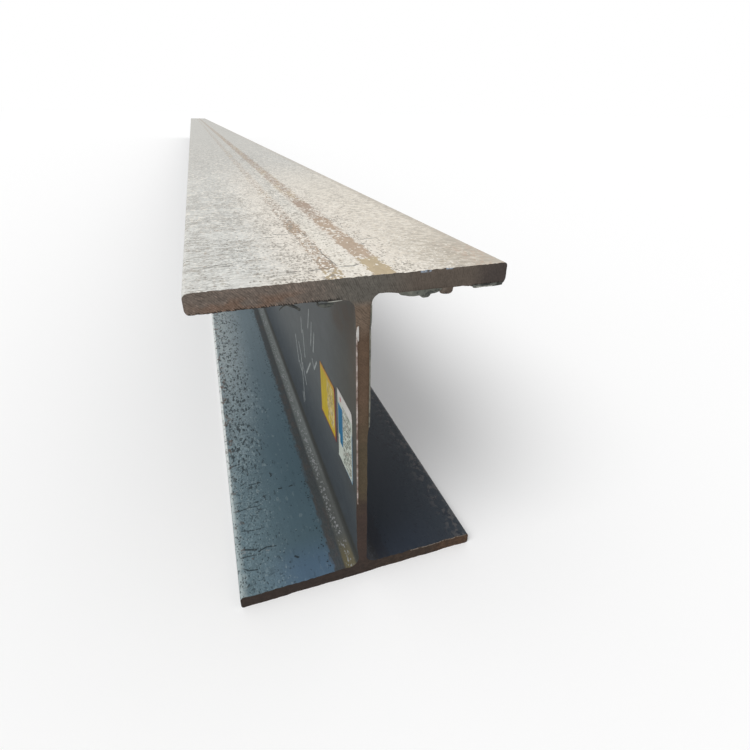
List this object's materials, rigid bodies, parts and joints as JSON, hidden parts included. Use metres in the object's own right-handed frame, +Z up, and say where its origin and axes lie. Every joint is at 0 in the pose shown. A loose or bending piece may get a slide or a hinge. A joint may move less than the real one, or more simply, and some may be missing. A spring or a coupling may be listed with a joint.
{
  "type": "steel h-beam",
  "caption": "Hot-rolled steel H-beam with wide parallel flanges, rounded root fillets, square-sawn ends and paper tags on its web.",
  "frame": {"origin": "middle of the face that lies on the floor, the underside of the lower flange", "axes": "+X across the flanges, +Y along the length away from the tagged end, +Z up from the lower flange to the upper one"},
  "size_m": [0.3, 12, 0.39],
  "materials": {
    "mill_steel": "as rolled, with mill scale and rust",
    "white_tag_paper": "printed paper",
    "yellow_tag_paper": "printed paper"
  },
  "bodies": {
    "root": {"h_beam": "mill_steel", "white_label": "white_tag_paper", "yellow_label": "yellow_tag_paper"}
  },
  "joints": []
}
